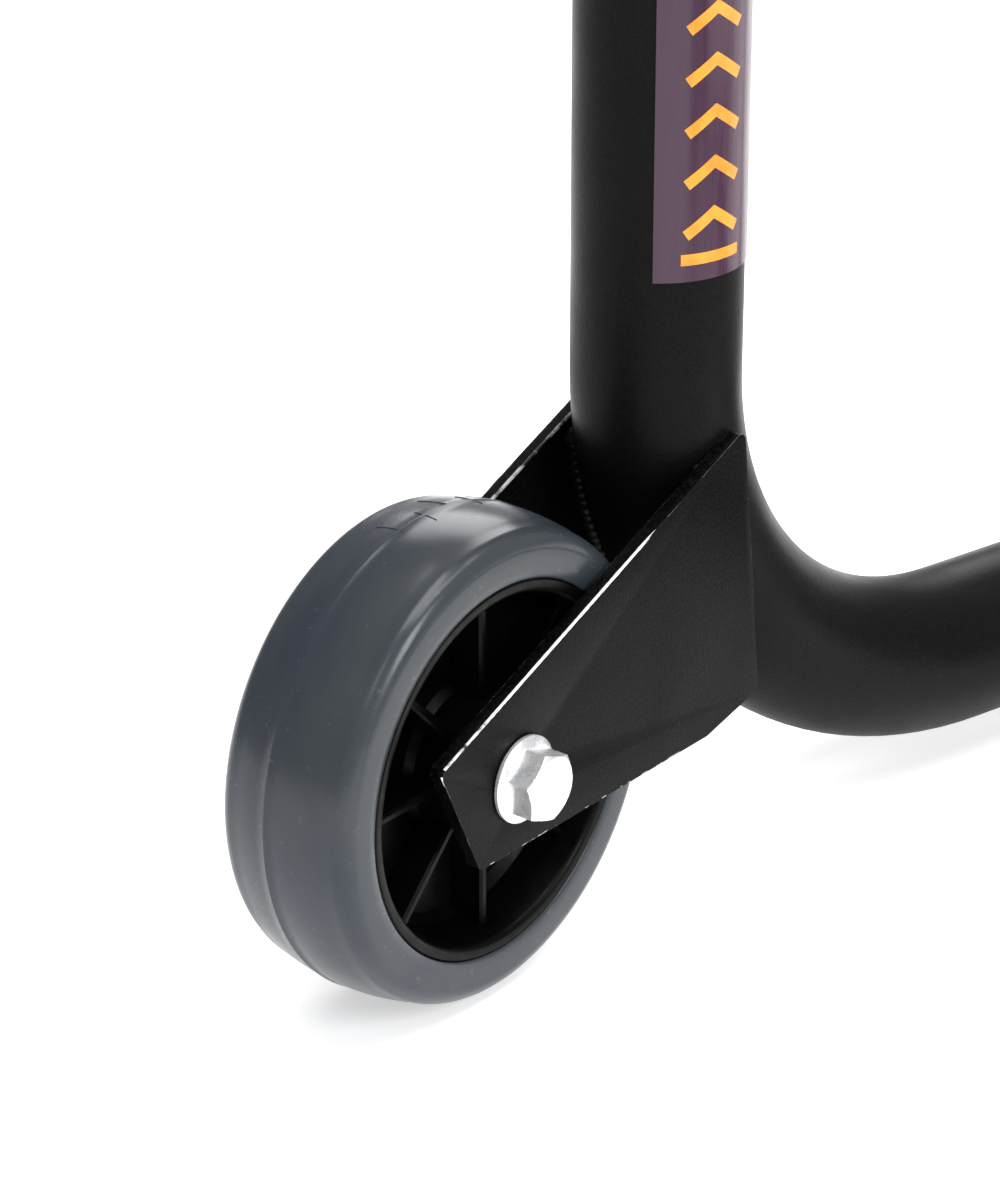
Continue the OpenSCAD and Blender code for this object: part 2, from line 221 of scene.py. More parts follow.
def hub_plastic():
    """Dead black moulding, a trace browner where it is dusty."""
    s = Shader("hub_plastic", (0.001, 0.001, 0.001), 0.3, specular=0.08)
    s.colour(s.ramp(s.noise(40, detail=3), [(0.3, (0.0008, 0.0008, 0.0008)),
                                            (0.75, (0.003, 0.0026, 0.0022))]))
    s.roughness(s.grey_ramp(s.noise(300, detail=5), 0.25, 0.45))
    s.bump((s.noise(700, detail=2), 0.00002))
    return s.material


def moulded_plastic(name, grain=1900):
    """Black plastic with an even grain from the mould."""
    s = Shader(name, (0.012, 0.012, 0.013), 0.5, specular=0.4)
    s.colour(s.ramp(s.noise(50, detail=4), [(0.3, (0.009, 0.009, 0.010)), (0.75, (0.02, 0.02, 0.021))]))
    s.roughness(s.grey_ramp(s.noise(grain / 6, detail=3), 0.42, 0.62))
    s.bump((s.noise(grain, detail=2), 0.00005))
    return s.material


def black_rubber(name):
    """Matt moulded rubber with a little dust in its texture."""
    s = Shader(name, (0.014, 0.014, 0.014), 0.72, specular=0.3)
    dust = s.ramp(s.noise(75, detail=6, rough=0.7), [(0.5, (0, 0, 0)), (0.85, (0.5, 0.5, 0.5))])
    s.colour(s.mix(dust, s.ramp(s.noise(600), [(0.3, (0.010, 0.010, 0.010)), (0.7, (0.018, 0.018, 0.018))]),
                   (0.06, 0.058, 0.055, 1)))
    s.roughness(s.grey_ramp(s.noise(240, detail=4), 0.62, 0.85))
    s.bump((s.noise(1300, detail=3), 0.00006))
    return s.material


def label_film():
    """Gloss film in deep purple, redder and lighter in upright streaks, which are partly the film's own tone
    and partly a painted sheen, with fine scratches in its coat.
    """
    s = Shader("label_film", (0.05, 0.014, 0.038), 0.3, specular=0.3)
    s.set("Coat Weight", 0.25)
    s.set("Coat Roughness", 0.15)
    streak_and_sheen = s.noise(30, detail=3, stretch=(1, 1, 0.15))
    # Painted sheen: the lighter, redder stops of these upright streaks stand in for a sheen band on the
    # gloss film.
    s.colour(s.ramp(streak_and_sheen, [(0.3, (0.036, 0.012, 0.032)), (0.6, (0.056, 0.0145, 0.042)),
                             (0.85, (0.085, 0.02, 0.046))]))
    s.roughness(s.grey_ramp(s.noise(700, detail=5, stretch=(1, 1, 0.1)), 0.2, 0.38))
    s.bump((s.noise(500, detail=3), 0.00001))
    return s.material


def orange_print():
    s = Shader("orange_print", (1.0, 0.33, 0.015), 0.35, specular=0.5)
    s.set("Coat Weight", 0.2)
    s.set("Coat Roughness", 0.15)
    s.colour(s.ramp(s.noise(260, detail=5), [(0.3, (0.88, 0.25, 0.010)), (0.6, (1.0, 0.34, 0.015))]))
    s.bump((s.noise(900, detail=2), 0.00001))
    return s.material


def nylon():
    s = Shader("natural_nylon", (0.75, 0.73, 0.66), 0.45)
    s.colour(s.ramp(s.noise(120, detail=3), [(0.3, (0.68, 0.66, 0.58)), (0.7, (0.8, 0.78, 0.7))]))
    s.bump((s.noise(900), 0.00003))
    return s.material


def brass():
    s = Shader("turned_brass", (0.75, 0.55, 0.22), 0.3, metallic=1.0)
    s.colour(s.ramp(s.noise(300, detail=4), [(0.3, (0.6, 0.42, 0.16)), (0.7, (0.82, 0.62, 0.28))]))
    s.bump((s.noise(1500, stretch=(6, 1, 1)), 0.00002))
    return s.material


TUBE_PAINT = powder_coat("tube_powder_coat", (0.004, 0.004, 0.004), (0.008, 0.008, 0.008), 0.36)
PLATE_PAINT = powder_coat("plate_powder_coat", (0.0006, 0.0006, 0.0006), (0.011, 0.011, 0.011), 0.36)
WELD_PAINT = powder_coat("weld_powder_coat", (0.004, 0.004, 0.004), (0.016, 0.016, 0.016), 0.3)
# Painted highlight: the plates' arrises get bright runs that stand in for the highlight along their edges,
# with some real wear; the other arrises get dim runs of real wear.
PLATE_EDGE_WEAR_AND_HIGHLIGHT = edge_wear_and_highlight("plate_edge_wear_and_highlight", 0.52, 0.6)
RUBBED_EDGE = edge_wear_and_highlight("edge_wear_and_highlight", 0.58, 0.2)
# Painted highlight: near-white runs for the thin lines along the plates' arrises, with real bare steel at
# one corner.
PAINTED_HIGHLIGHT_AND_BARE_STEEL = edge_wear_and_highlight("painted_highlight_and_bare_steel", 0.36, 0.95)
ZINC = zinc("bright_zinc", 0.96, 0.7)
DULL_ZINC = zinc("dull_zinc", 0.5, 1.0)
TYRE = tyre_rubber()
HUB = hub_plastic()
PLASTIC = moulded_plastic("moulded_plastic")
KNOB_PLASTIC = moulded_plastic("knob_plastic", grain=2600)
RUBBER = black_rubber("moulded_rubber")
FILM = label_film()
PRINT = orange_print()
NYLON = nylon()
BRASS = brass()


# ---- mesh building ----

def basis(origin, z, x=None):
    """A matrix whose Z runs along z, with X towards x where it is given."""
    z = z.normalized()
    x = (x if x is not None else (UP if abs(z.z) < 0.9 else X_DIR))
    x = (x - z * x.dot(z)).normalized()
    y = z.cross(x)
    return Matrix(((x.x, y.x, z.x, origin.x), (x.y, y.y, z.y, origin.y),
                   (x.z, y.z, z.z, origin.z), (0, 0, 0, 1)))


def bridge(bm, a, b):
    """Faces between two rings. A ring of one vertex is a pole."""
    if len(a) == 1 and len(b) == 1:
        return
    count = max(len(a), len(b))
    for i in range(count):
        j = (i + 1) % count
        corners = [a[i % len(a)], a[j % len(a)], b[j % len(b)], b[i % len(b)]]
        unique = [v for k, v in enumerate(corners) if v not in corners[:k]]
        bm.faces.new(unique)


def loft(bm, loops, closed=False, caps=True):
    """A skin over loops of points. closed joins the last loop to the first."""
    rings = [[bm.verts.new(p) for p in loop] for loop in loops]
    for a, b in zip(rings, rings[1:]):
        bridge(bm, a, b)
    if closed:
        bridge(bm, rings[-1], rings[0])
    elif caps:
        for ring in (rings[0], rings[-1]):
            bm.faces.new(ring)
    return rings


def circle(place, radius, height=0.0, sides=64):
    """A ring about place's Z, or a single point where the radius is nothing."""
    if radius < TINY:
        return [place @ Vector((0, 0, height))]
    return [place @ Vector((radius * cos(2 * pi * i / sides), radius * sin(2 * pi * i / sides), height))
            for i in range(sides)]


def revolve(bm, profile, place, sides=64):
    """Turns a closed outline of (radius, height) about place's Z."""
    loft(bm, [circle(place, r, h, sides) for r, h in profile], closed=True)


def arc(centre, radius, start, end, steps):
    """Points on an arc in the plane, from start to end in degrees."""
    return [(centre[0] + radius * cos(radians(start + (end - start) * i / steps)),
             centre[1] + radius * sin(radians(start + (end - start) * i / steps)))
            for i in range(steps + 1)]


def sweep(bm, points, radius, sides=12, closed=False):
    """A round bar along points. radius is a number, or a function of the distance run so far."""
    count = len(points)
    tangents = []
    for i in range(count):
        before = points[i - 1] if closed or i else points[i]
        after = points[(i + 1) % count] if closed or i < count - 1 else points[i]
        tangents.append((after - before).normalized())
    normal = tangents[0].orthogonal().normalized()
    loops, run = [], 0.0
    for i, (p, t) in enumerate(zip(points, tangents)):
        normal = (normal - t * normal.dot(t)).normalized()
        run += (p - points[i - 1]).length if i else 0
        r = radius(run) if callable(radius) else radius
        side = t.cross(normal)
        loops.append([p + (normal * cos(2 * pi * k / sides) + side * sin(2 * pi * k / sides)) * r
                      for k in range(sides)])
    if closed:
        rings = loft(bm, loops, caps=False)
        first, last = rings[0], rings[-1]
        turn = min(range(sides), key=lambda k: (last[0].co - first[k].co).length)
        bridge(bm, last, first[turn:] + first[:turn])
    else:
        loft(bm, loops)


def resampled(points, step, closed=False):
    """The same line in equal steps."""
    line = list(points) + ([points[0]] if closed else [])
    lengths = [(b - a).length for a, b in zip(line, line[1:])]
    total = sum(lengths)
    count = max(2, ceil(total / step))
    out, i, passed = [], 0, 0.0
    for k in range(count if closed else count + 1):
        want = total * k / count
        while i < len(lengths) - 1 and passed + lengths[i] < want:
            passed += lengths[i]
            i += 1
        share = (want - passed) / lengths[i] if lengths[i] else 0
        out.append(line[i].lerp(line[i + 1], min(max(share, 0), 1)))
    return out


def bead(bm, points, size, closed=False, ripple=2.1 * MM):
    """A weld bead: overlapping ripples along a line, running out to nothing at an open end."""
    phase = random.random()
    wander = [random.uniform(-0.06, 0.06) for _ in range(64)]
    line = resampled(points, ripple / 5, closed)
    total = sum((b - a).length for a, b in zip(line, line[1:]))

    def radius(run):
        turn = run / ripple + phase
        wave = turn - floor(turn)
        swell = 0.9 + 0.16 * sin(pi * wave) + wander[int(turn) % len(wander)]
        end = 1 if closed else min(1, max(min(run, total - run), 0) / (1.5 * size))
        return size * swell * (0.1 + 0.9 * sqrt(end))

    sweep(bm, line, radius, closed=closed)


def bent_tube(bm, path, bend, outer, inner, sides):
    """A hollow tube that runs straight from path[0], bends round path[1] and ends at path[2]."""
    lip = 0.3 * MM
    d, e = (path[1] - path[0]).normalized(), (path[2] - path[1]).normalized()
    angle = d.angle(e)
    cut = bend * tan(angle / 2)
    inward = (e - d * d.dot(e)).normalized()
    centre = path[1] - d * cut + inward * bend
    steps = max(2, ceil(angle / radians(3)))
    axis = d.cross(inward)
    stations = [(path[0], d), (path[0] + d * lip, d)]
    for i in range(steps + 1):
        a = angle * i / steps
        stations.append((centre - inward * bend * cos(a) + d * bend * sin(a), d * cos(a) + inward * sin(a)))
    stations += [(path[2] - e * lip, e), (path[2], e)]

    def loops(radius, ends):
        last = len(stations) - 1
        return [circle(basis(p, t, axis), radius + (ends if i in (0, last) else 0), sides=sides)
                for i, (p, t) in enumerate(stations)]

    loft(bm, loops(outer, -lip) + loops(inner, lip)[::-1], closed=True)


HEX_RING = 72       # points in a ring of a hexagon, and in the rings that it joins


def hex_loop(place, across, height, limit):
    """One ring of a hexagon whose corners are turned down to a radius of limit."""
    loop = []
    for i in range(HEX_RING):
        a = 2 * pi * i / HEX_RING
        off = (a + pi / 6) % (pi / 3) - pi / 6
        r = min(across / 2 / cos(off), limit)
        loop.append(place @ Vector((r * cos(a), r * sin(a), height)))
    return loop


def hex_sides(place, across, low, high):
    """Rings of a hexagon from low to high, its corners chamfered at 30 degrees at the top."""
    corner = across / 2 / cos(pi / 6)
    cut = corner - across / 2 * 0.97        # the chamfer runs in to just inside the flats
    depth = cut * tan(pi / 6)
    steps = 4
    return [hex_loop(place, across, low, corner)] + [
        hex_loop(place, across, high - depth * (1 - i / steps), corner - cut * i / steps)
        for i in range(steps + 1)]


def threaded(bm, place, radius, low, high, pitch, depth, sides=36):
    """A screw thread: a grid round the shank whose height follows the helix."""
    rows = ceil((high - low) / pitch * 8)
    loops = [[place @ Vector((0, 0, low))]]
    for j in range(rows + 1):
        z = low + (high - low) * j / rows
        taper = min(1.0, (z - low) / pitch, (high - z) / pitch)
        loop = []
        for i in range(sides):
            a = 2 * pi * i / sides
            wave = (z / pitch - i / sides) % 1.0
            ridge = min(1.0, 2.4 * min(wave, 1 - wave)) * max(taper, 0)
            r = radius - depth + depth * ridge
            loop.append(place @ Vector((r * cos(a), r * sin(a), z)))
        loops.append(loop)
    loops.append([place @ Vector((0, 0, high))])
    loft(bm, loops, caps=False)


def mirrored(bm, build):
    """Draws build as it is, on the right, and again in mirror image on the left."""
    build(bm)
    other = bmesh.new()
    build(other)
    for v in other.verts:
        v.co.y = -v.co.y
    bmesh.ops.reverse_faces(other, faces=other.faces)
    mesh = bpy.data.meshes.new("mirror")
    other.to_mesh(mesh)
    other.free()
    bm.from_mesh(mesh)
    bpy.data.meshes.remove(mesh)


def piece(name, bm, materials, body, replaces=(), sharp=32, outward=True):
    """Makes the mesh into a piece that rides on a body."""
    if outward:
        bmesh.ops.recalc_face_normals(bm, faces=bm.faces)
    mesh = bpy.data.meshes.new(name)
    bm.to_mesh(mesh)
    bm.free()
    for material in materials:
        mesh.materials.append(material)
    mesh.polygons.foreach_set("use_smooth", [True] * len(mesh.polygons))
    mesh.set_sharp_from_angle(angle=radians(sharp))
    obj = bpy.data.objects.new(name, mesh)
    scene.collection.objects.link(obj)
    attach(obj, body)
    if replaces:
        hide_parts(*replaces)
    return obj


def each_side(name, build, materials, body, node=None, sharp=32):
    """A right-hand piece and its mirror image. body and node are named without their side."""
    for side in SIDES:
        bm = bmesh.new()
        build(bm)
        if side == "left":
            for v in bm.verts:
                v.co.y = -v.co.y
            bmesh.ops.reverse_faces(bm, faces=bm.faces)
        on = body if body == "frame" else f"{side}_{body}"
        piece(f"{side}_{name}", bm, materials, on, [f"{side}_{node}"] if node else (), sharp)


def softened(node, name, materials, body, width):
    """A copy of a CAD plate or tube, its arrises rounded. The rounded faces take the second material."""
    bm = bmesh.new()
    bm.from_mesh(frame["nodes"][node].data)
    bmesh.ops.remove_doubles(bm, verts=bm.verts, dist=1e-6)
    bmesh.ops.dissolve_limit(bm, angle_limit=radians(0.5), verts=bm.verts, edges=bm.edges)
    edges = [e for e in bm.edges if len(e.link_faces) == 2 and e.calc_face_angle() > radians(30)]
    bmesh.ops.bevel(bm, geom=edges, offset=width, offset_type="OFFSET", segments=2, profile=0.5,
                    affect="EDGES", clamp_overlap=True, material=1)
    piece(name, bm, materials, body, [node], sharp=28, outward=False)


def repaint(material, *nodes):
    """Gives carried-over CAD nodes this material."""
    for node in nodes:
        data = frame["nodes"][node].data
        data.materials.clear()
        data.materials.append(material)


# ---- wheels ----

WHEEL_R = AXLE.z
TYRE_LOW, TYRE_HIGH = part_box("right_tyre")
TYRE_HALF = (TYRE_HIGH.y - TYRE_LOW.y) / 2
HUB_LOW, HUB_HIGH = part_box("right_hub")
HUB_R = (HUB_HIGH.z - HUB_LOW.z) / 2
INWARD = basis(AXLE, -Y_DIR, UP)        # Z points to the stand's inner side, where the bolt's head is
NICKS = ((-7, -1), (-9, -3), (-6.5, 0.5), (-9.5, -2.5), (-5, 1), (-8, -1.5))    # mm across the tread


def tyre(bm):
    """The tread is crowned, with a mould's parting ridge a little to the outer side of its middle, and a
    few short nicks."""
    crown, shoulder, seam, ridge = 1.5 * MM, 4.4 * MM, -2.5 * MM, 0.2 * MM
    flat = TYRE_HALF - shoulder
    edge = WHEEL_R - crown
    tread = [-flat + 2 * flat * i / 14 for i in range(15)]
    tread = sorted(h for h in tread if abs(h - seam) > 1.4 * MM)
    line = [(WHEEL_R - crown * (h / flat) ** 2, h) for h in tread]
    at_seam = WHEEL_R - crown * (seam / flat) ** 2
    line += [(at_seam, seam - 0.45 * MM), (at_seam + ridge, seam - 0.12 * MM),
             (at_seam + ridge, seam + 0.12 * MM), (at_seam, seam + 0.45 * MM)]
    line.sort(key=lambda p: p[1])
    far = arc((edge - shoulder, flat), shoulder, 0, 84, 9)
    near = [(r, -h) for r, h in far[::-1]]
    face = TYRE_HALF - 0.05 * MM
    wall = [(HUB_R + 2.2 * MM, face), (HUB_R + 0.5 * MM, face), (HUB_R, face - 0.4 * MM)]
    outline = [(r, -h) for r, h in wall[::-1]] + near + line[1:-1] + far + wall
    revolve(bm, outline, INWARD, sides=144)
    for i, (start, end) in enumerate(NICKS):
        spin = INWARD @ Matrix.Rotation(radians(-32 + 8.5 * i), 4, "Z")
        nick = []
        for k in range(11):
            h = start + (end - start) * k / 10
            skin = WHEEL_R - crown * (h * MM / flat) ** 2
            nick.append(spin @ Vector((skin, 0.5 * MM * sin(h / 2.5), h * MM)))
        sweep(bm, nick, 0.13 * MM, sides=6)


def hub(bm):
    """Rim, thin web, boss and radial ribs, open on both sides."""
    rim, web, boss_r, bore = 3 * MM, 3.5 * MM, 14 * MM, 6.08 * MM
    boss = (HUB_HIGH.y - HUB_LOW.y) / 2
    face = TYRE_HALF - 0.35 * MM
    half = [(bore + 0.4 * MM, boss), (boss_r - 0.8 * MM, boss), (boss_r, boss - 0.8 * MM),
            (boss_r + 0.5 * MM, web + 1.5 * MM), (boss_r + 2 * MM, web),
            (HUB_R - rim - 3.5 * MM, web), (HUB_R - rim - 1.6 * MM, web + 1.8 * MM),
            (HUB_R - rim, face - 1.2 * MM), (HUB_R - rim + 0.6 * MM, face - 0.3 * MM),
            (HUB_R - rim + 1.2 * MM, face), (HUB_R - 0.5 * MM, face), (HUB_R, face - 0.5 * MM)]
    revolve(bm, [(bore, boss - 0.4 * MM)] + half + [(r, -h) for r, h in half[::-1]]
            + [(bore, -boss + 0.4 * MM)], INWARD, sides=96)
    ribs, top, thick = 8, 11 * MM, 1.3 * MM
    for i in range(ribs):
        spin = INWARD @ Matrix.Rotation(2 * pi * i / ribs, 4, "Z")
        for way in (1, -1):
            low, soft = way * (web - 0.5 * MM), 0.5 * MM
            section = [(-thick, low), (-thick + 0.3 * MM, way * (top - soft)),
                       (-thick + 0.3 * MM + soft, way * top), (thick - 0.3 * MM - soft, way * top),
                       (thick - 0.3 * MM, way * (top - soft)), (thick, low)]
            loft(bm, [[spin @ Vector((r, y, z)) for y, z in section]
                      for r in (boss_r - 1.5 * MM, (boss_r + HUB_R) / 2, HUB_R - rim + 0.3 * MM)])


each_side("tyre_rubber", tyre, [TYRE], "wheel", "tyre", sharp=50)
each_side("hub_moulding", hub, [HUB], "wheel", "hub")

# ---- fasteners ----

PLATE_LOW, PLATE_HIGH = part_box("right_bracket_inner")
M8, M8_ACROSS, M8_PITCH = 3.95 * MM, 13 * MM, 1.25 * MM        # shank radius, hexagon, thread
LEG_BOLTS_BACK = (66 * MM, 94 * MM)        # from the rail's end
OUTER_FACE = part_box("right_bracket_outer")[1].y


def flange_bolt(bm, place, length, thread):
    """Bears on place's plane, with its head along +Z and its shank below."""
    profile = [(0, 0), (8.6 * MM, 0), (8.95 * MM, 0.3 * MM), (8.95 * MM, 1.0 * MM), (8.6 * MM, 1.35 * MM),
               (7.2 * MM, 2.2 * MM), (0, 2.2 * MM)]
    loft(bm, [circle(place, r, h, HEX_RING) for r, h in profile], caps=False)
    head = hex_sides(place, M8_ACROSS, 1.2 * MM, 7.5 * MM)
    dish = [circle(place, r, h, HEX_RING)
            for r, h in ((4.6 * MM, 7.5 * MM), (4.1 * MM, 7.25 * MM), (0, 7.2 * MM))]
    loft(bm, [circle(place, 0, 1.2 * MM)] + head + dish, caps=False)
    loft(bm, [circle(place, r, -h, 36) for r, h in
              ((0, 0), (M8, 0), (M8, length - thread), (0, length - thread))], caps=False)
    threaded(bm, place, M8, -length, -(length - thread), M8_PITCH, 0.62 * MM)


def flange_nut(bm, place):
    """Bears on place's plane, with its collar along +Z."""
    bore = M8 + 0.08 * MM
    loops = [circle(place, r, h, HEX_RING) for r, h in
             ((bore, 0.3 * MM), (bore + 0.4 * MM, 0), (8.3 * MM, 0), (8.7 * MM, 0.3 * MM),
              (8.7 * MM, 1.0 * MM), (7.3 * MM, 1.9 * MM))]
    loops += hex_sides(place, M8_ACROSS, 1.9 * MM, 7.0 * MM)
    loops += [circle(place, r, h, HEX_RING) for r, h in
              ((5.8 * MM, 7.0 * MM), (5.8 * MM, 8.3 * MM), (5.3 * MM, 8.8 * MM), (bore + 0.4 * MM, 8.8 * MM),
               (bore, 8.4 * MM))]
    loft(bm, loops, closed=True)


def axle_bolt(bm):
    head = Vector((AXLE.x, PLATE_LOW.y, AXLE.z))
    flange_bolt(bm, basis(head, -Y_DIR, UP + X_DIR * 0.35), 52 * MM, 24 * MM)


def axle_nut(bm):
    flange_nut(bm, basis(Vector((AXLE.x, OUTER_FACE, AXLE.z)), Y_DIR, UP + X_DIR * 0.2))


def leg_bolts(bm):
    for i, back in enumerate(LEG_BOLTS_BACK):
        head = RAIL_END - RAIL_DIR * back + RAIL_SIDE * TUBE_R
        flange_bolt(bm, basis(head, RAIL_SIDE, UP + RAIL_DIR * (0.1 + 0.4 * i)), 48 * MM, 20 * MM)


def leg_nuts(bm):
    for i, back in enumerate(LEG_BOLTS_BACK):
        seat = RAIL_END - RAIL_DIR * back - RAIL_SIDE * TUBE_R
        flange_nut(bm, basis(seat, -RAIL_SIDE, UP + RAIL_DIR * (0.5 - 0.3 * i)))


CLAMP_NUT_H = 8 * MM
CLAMP = basis(Vector((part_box("right_receiver")[1].x, KNOB.y, KNOB.z)), X_DIR, UP)


def clamp_nut(bm):
    """Welded on the receiver's back, for the clamp screw."""
    bore, top = 5.0 * MM, CLAMP_NUT_H
    loops = [circle(CLAMP, bore + 0.5 * MM, 0, HEX_RING)]
    loops += hex_sides(CLAMP, 17 * MM, 0, top)
    loops += [circle(CLAMP, bore + 0.6 * MM, top, HEX_RING), circle(CLAMP, bore, top - 0.6 * MM, HEX_RING)]
    loft(bm, loops, closed=True)


for name, build in (("axle_bolts", axle_bolt), ("axle_nuts", axle_nut), ("leg_bolts", leg_bolts),
                    ("leg_nuts", leg_nuts), ("clamp_nuts", clamp_nut)):
    bm = bmesh.new()
    mirrored(bm, build)
    piece(f"zinc_{name}", bm, [ZINC if name == "axle_bolts" else DULL_ZINC], "frame", [name])
repaint(DULL_ZINC, "axle_sleeves")

# ---- tubes and plates ----

CROSSBAR_X = middle("crossbar").x
CROSSBAR_R = (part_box("crossbar")[1].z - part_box("crossbar")[0].z) / 2
LEG_LEAD, LEG_FIT, LEG_BEND = 30 * MM, 125 * MM, 60 * MM        # out of the rail, into it, and the bend
LEG_CORNER = RAIL_END + RAIL_DIR * LEG_LEAD
LEG_TOP = LEG_CORNER + RAIL_DIR * ((BAR.x - LEG_CORNER.x) / RAIL_DIR.x)
LEG_TOP.z = BAR.z
LEG_RISE = (LEG_TOP - LEG_CORNER).normalized()


def side_tube(bm):
    path = [Vector((UPRIGHT_X, AXLE.y, UPRIGHT_TOP)), Vector((UPRIGHT_X, AXLE.y, RAIL_Z)), RAIL_END]
    bent_tube(bm, path, BEND_R, TUBE_R, TUBE_R - TUBE_WALL, sides=96)


def handle_leg(bm):
    inside_bar = LEG_TOP - LEG_RISE * (BAR_R * 0.6)
    path = [RAIL_END - RAIL_DIR * LEG_FIT, LEG_CORNER, inside_bar]
    bent_tube(bm, path, LEG_BEND, BAR_R, BAR_R - TUBE_WALL, sides=72)


def saddle(radius, centre, along, onto_point, onto_dir, onto_r):
    """Where a round bar along one line meets the skin of another: points round the joint."""
    place = basis(centre, along)
    points, steps = [], 96
    for i in range(steps):
        a = 2 * pi * i / steps
        start = place @ Vector((radius * cos(a), radius * sin(a), 0)) - onto_point
        flat = start - onto_dir * start.dot(onto_dir)
        way = along - onto_dir * along.dot(onto_dir)
        b, c = flat.dot(way), flat.dot(flat) - onto_r ** 2
        root = b * b - way.dot(way) * c
        run = (-b - sqrt(max(root, 0))) / way.dot(way)
        points.append(place @ Vector((radius * cos(a), radius * sin(a), run)))
    return points


def crossbar_joint(grow=0.0):
    return saddle(CROSSBAR_R + grow, Vector((CROSSBAR_X, 0, RAIL_Z)), Y_DIR, on_rail(CROSSBAR_X),
                  RAIL_DIR, TUBE_R + grow)


def leg_joint():
    return saddle(BAR_R - 0.1 * MM, LEG_CORNER, LEG_RISE, BAR, Y_DIR, BAR_R + 0.7 * MM)


def crossbar(bm):
    right = crossbar_joint()
    loft(bm, [right, [Vector((p.x, -p.y, p.z)) for p in right]], caps=False)


def handle_bar(bm):
    place = basis(Vector((BAR.x, BAR_LOW.y, BAR.z)), Y_DIR)
    length = BAR_HIGH.y - BAR_LOW.y
    inner = BAR_R - TUBE_WALL
    revolve(bm, [(BAR_R, 0.2 * MM), (BAR_R, length - 0.2 * MM), (BAR_R - 0.2 * MM, length), (inner, length),
                 (inner, 0), (BAR_R - 0.2 * MM, 0)], place, sides=72)


each_side("upright_and_rail", side_tube, [TUBE_PAINT], "frame", "side_tube", sharp=40)
each_side("leg_of_handle", handle_leg, [TUBE_PAINT], "frame", "handle_leg", sharp=40)
for name, build, node in (("tie_bar", crossbar, "crossbar"), ("bar_of_handle", handle_bar, "handle_bar")):
    bm = bmesh.new()
    build(bm)
    piece(name, bm, [TUBE_PAINT], "frame", [node], sharp=40)

# The plates' rounded arrises take an edge material whose bright runs are mostly a painted highlight.
for side in SIDES:
    for node, name, edge, body, width in (
            ("bracket_inner", "plate_inner", PLATE_EDGE_WEAR_AND_HIGHLIGHT, "frame", 0.5 * MM),
            ("bracket_outer", "plate_outer", PLATE_EDGE_WEAR_AND_HIGHLIGHT, "frame", 0.5 * MM),
            ("receiver", "receiver_sleeve", RUBBED_EDGE, "frame", 0.5 * MM),
            ("arm_tube", "arm_square_tube", RUBBED_EDGE, f"{side}_arm", 0.4 * MM),
            ("rest_plate", "rest_angle", RUBBED_EDGE, f"{side}_rest", 0.6 * MM)):
        softened(f"{side}_{node}", f"{side}_{name}", [PLATE_PAINT, edge], body, width)

# ---- arms and rests ----

BOSS_LOW, BOSS_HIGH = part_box("right_arm_boss")
BOSS_R = (BOSS_HIGH.x - BOSS_LOW.x) / 2
PIN_LOW, PIN_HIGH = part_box("right_rest_pin")
PIN_R = (PIN_HIGH.x - PIN_LOW.x) / 2
AT_PIN = basis(Vector((REST.x, REST.y, 0)), UP, X_DIR)


def boss(bm):
    chamfer, bore = 0.8 * MM, PIN_R + 0.08 * MM
    low, high = BOSS_LOW.z, BOSS_HIGH.z
    revolve(bm, [(bore, low + chamfer), (bore + chamfer, low), (BOSS_R - chamfer, low),
                 (BOSS_R, low + chamfer), (BOSS_R, high - chamfer), (BOSS_R - chamfer, high),
                 (bore + chamfer, high), (bore, high - chamfer)], AT_PIN)


def rest_pin(bm):
    """A plain pin, chamfered at its lower end, with a shallow groove turned round it."""
    low, high = PIN_LOW.z, PIN_HIGH.z
    waist = PIN_R - 0.25 * MM
    loft(bm, [circle(AT_PIN, r, h) for r, h in
              ((0, low), (PIN_R - 1.6 * MM, low), (PIN_R - 1.3 * MM, low + 0.15 * MM),
               (PIN_R, low + 1.5 * MM), (PIN_R, low + 13 * MM), (waist, low + 13.4 * MM),
               (waist, low + 14.2 * MM), (PIN_R, low + 14.6 * MM), (PIN_R, high), (0, high))], caps=False)


def washer(bm):
    low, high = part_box("right_rest_washer")
    r, edge = (high.x - low.x) / 2, 0.3 * MM
    revolve(bm, [(PIN_R + 0.1 * MM, low.z), (r - edge, low.z), (r, low.z + edge), (r, high.z - edge),
                 (r - edge, high.z), (PIN_R + 0.1 * MM, high.z)], AT_PIN)


def split_pin(bm):
    """A folded wire: its eye stands at one side of the pin and its legs spread at the other."""
    low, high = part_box("right_rest_clip")
    z, wire, eye = (low.z + high.z) / 2, 0.6 * MM, 3.4 * MM
    centre = Vector((low.x + 4.4 * MM, REST.y, z))
    for way in (1, -1):
        loop = [centre + Vector((-cos(radians(a)), way * sin(radians(a)), 0)) * eye
                for a in range(0, 151, 10)]
        entry = [Vector((REST.x - PIN_R - 1 * MM, REST.y + way * wire, z)),
                 Vector((REST.x + PIN_R + 0.6 * MM, REST.y + way * wire, z))]
        spread = [Vector((high.x - 2.2 * MM, REST.y + way * 1.8 * MM, z)),
                  Vector((high.x - 0.7 * MM, REST.y + way * 3.6 * MM, z))]
        sweep(bm, resampled(loop + entry + spread, 0.7 * MM), wire, sides=10)


def rounded(points, radius, steps=4):
    """A polygon with each corner rounded by an arc."""
    out = []
    count = len(points)
    for i, p in enumerate(points):
        p, q, n = Vector(p), Vector(points[i - 1]), Vector(points[(i + 1) % count])
        a, b = (q - p).normalized(), (n - p).normalized()
        half = a.angle(b) / 2
        back = min(radius / tan(half), 0.49 * min((q - p).length, (n - p).length))
        for k in range(steps + 1):
            t = k / steps
            out.append(p + a * back * (1 - t) ** 2 + b * back * t ** 2)
    return out


PAD_LOW, PAD_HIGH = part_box("right_rest_pad")
PAD_T = 8 * MM


